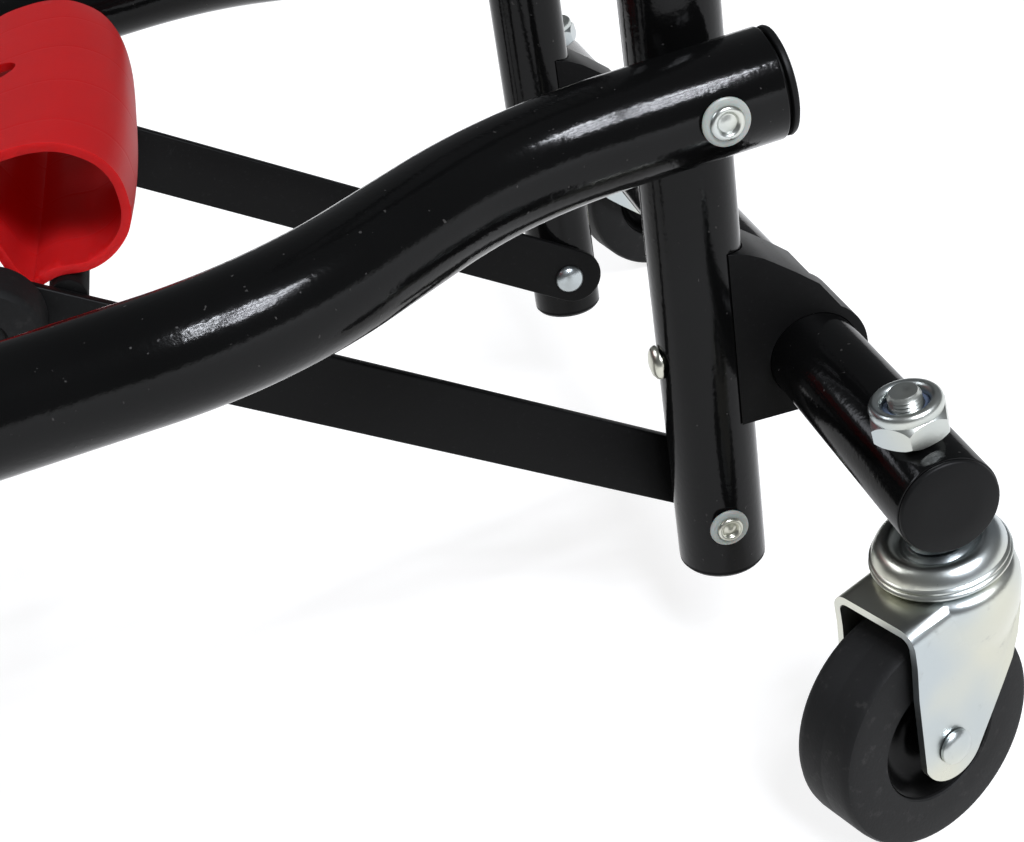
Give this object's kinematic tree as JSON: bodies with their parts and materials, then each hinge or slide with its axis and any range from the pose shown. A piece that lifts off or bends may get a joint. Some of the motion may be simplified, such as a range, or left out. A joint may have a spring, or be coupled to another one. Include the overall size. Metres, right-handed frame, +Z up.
{
  "type": "folding transport trolley",
  "caption": "Folding platform trolley with a leaning tube handle, swivel casters under the handle, braces with a red release grip, a deck board and large front wheels.",
  "frame": {"origin": "on the floor, under the middle of the trolley's box", "axes": "+X from the load platform towards the handle end, +Z up, +Y across the trolley"},
  "size_m": [0.9216, 0.476, 0.8875],
  "materials": {
    "gloss_black_tube": "gloss powder coat on steel tube",
    "satin_black_steel": "satin black coat on pressed sheet and bar",
    "zinc_steel": "bright zinc plate",
    "wheel_rubber": "matte moulded rubber",
    "black_plastic": "satin moulded plastic",
    "gloss_hub_plastic": "glossy moulded plastic",
    "white_nylon": "translucent nylon",
    "red_plastic": "satin moulded red plastic",
    "deck_plastic": "textured moulded board",
    "grip_foam": "soft foam sleeve"
  },
  "bodies": {
    "platform": {"rail_near": "gloss_black_tube", "rail_far": "gloss_black_tube", "rail_cap_rear_near": "black_plastic", "rail_cap_rear_far": "black_plastic", "rail_cap_front_near": "black_plastic", "rail_cap_front_far": "black_plastic", "pivot_washer_near": "white_nylon", "pivot_washer_far": "white_nylon", "pivot_bolt_near": "zinc_steel", "pivot_bolt_far": "zinc_steel", "axle_plate_near": "satin_black_steel", "axle_plate_far": "satin_black_steel", "axle_cap_near": "zinc_steel", "axle_cap_far": "zinc_steel", "front_axle": "zinc_steel", "cross_tube_rear": "gloss_black_tube", "cross_tube_front": "gloss_black_tube", "deck_board": "deck_plastic"},
    "handle": {"handle_tube": "gloss_black_tube", "handle_grip": "grip_foam", "handle_cross_tube": "gloss_black_tube", "upright_plug_near": "black_plastic", "upright_plug_far": "black_plastic", "caster_bracket_near": "satin_black_steel", "caster_bracket_far": "satin_black_steel", "bracket_bolt_near": "zinc_steel", "bracket_bolt_far": "zinc_steel", "lower_washer_near": "white_nylon", "lower_washer_far": "white_nylon", "lower_bolt_near": "zinc_steel", "lower_bolt_far": "zinc_steel", "caster_tube": "gloss_black_tube", "caster_tube_plug_near": "black_plastic", "caster_tube_plug_far": "black_plastic", "caster_stem_near": "zinc_steel", "caster_stem_far": "zinc_steel", "caster_race_near": "zinc_steel", "caster_race_far": "zinc_steel", "stem_nut_near": "zinc_steel", "stem_nut_far": "zinc_steel"},
    "brace": {"brace_bar_near": "satin_black_steel", "brace_bar_far": "satin_black_steel", "brace_bumper_near": "wheel_rubber", "brace_bumper_far": "wheel_rubber", "brace_rod": "satin_black_steel"},
    "release_grip": {"release_grip": "red_plastic"},
    "caster_fork_near": {"caster_fork_near": "zinc_steel", "caster_rivet_near": "zinc_steel"},
    "caster_wheel_near": {"caster_tread_near": "wheel_rubber", "caster_hub_near": "gloss_hub_plastic"},
    "front_wheel_near": {"front_tyre_near": "wheel_rubber", "front_hub_near": "gloss_hub_plastic"},
    "caster_fork_far": {"caster_fork_far": "zinc_steel", "caster_rivet_far": "zinc_steel"},
    "caster_wheel_far": {"caster_tread_far": "wheel_rubber", "caster_hub_far": "gloss_hub_plastic"},
    "front_wheel_far": {"front_tyre_far": "wheel_rubber", "front_hub_far": "gloss_hub_plastic"}
  },
  "joints": [
    {"name": "handle_fold", "type": "hinge", "parent": "platform", "child": "handle", "pos_m": [0.32246, 0, 0.18134], "axis": [0, -1, 0], "range_deg": [0, 85]},
    {"name": "brace_swing", "type": "hinge", "parent": "handle", "child": "brace", "pos_m": [0.30014, 0, 0.05479], "axis": [0, -1, 0], "range_deg": [0, 45]},
    {"name": "grip_lift", "type": "hinge", "parent": "platform", "child": "release_grip", "pos_m": [0.11046, 0, 0.19728], "axis": [0, -1, 0], "range_deg": [0, 25]},
    {"name": "caster_swivel_near", "type": "hinge", "parent": "handle", "child": "caster_fork_near", "pos_m": [0.33533, -0.1676, 0.0954], "axis": [0, 0, 1], "continuous": true},
    {"name": "caster_swivel_far", "type": "hinge", "parent": "handle", "child": "caster_fork_far", "pos_m": [0.33533, 0.1676, 0.0954], "axis": [0, 0, 1], "continuous": true},
    {"name": "caster_roll_near", "type": "hinge", "parent": "caster_fork_near", "child": "caster_wheel_near", "pos_m": [0.317, -0.17427, 0.0305], "axis": [-0.342, 0.9397, 0], "continuous": true},
    {"name": "caster_roll_far", "type": "hinge", "parent": "caster_fork_far", "child": "caster_wheel_far", "pos_m": [0.35453, 0.17099, 0.0305], "axis": [0.1736, -0.9848, 0], "continuous": true},
    {"name": "front_roll_near", "type": "hinge", "parent": "platform", "child": "front_wheel_near", "pos_m": [-0.33254, -0.1997, 0.1], "axis": [0, 1, 0], "continuous": true},
    {"name": "front_roll_far", "type": "hinge", "parent": "platform", "child": "front_wheel_far", "pos_m": [-0.33254, 0.1997, 0.1], "axis": [0, 1, 0], "continuous": true}
  ]
}
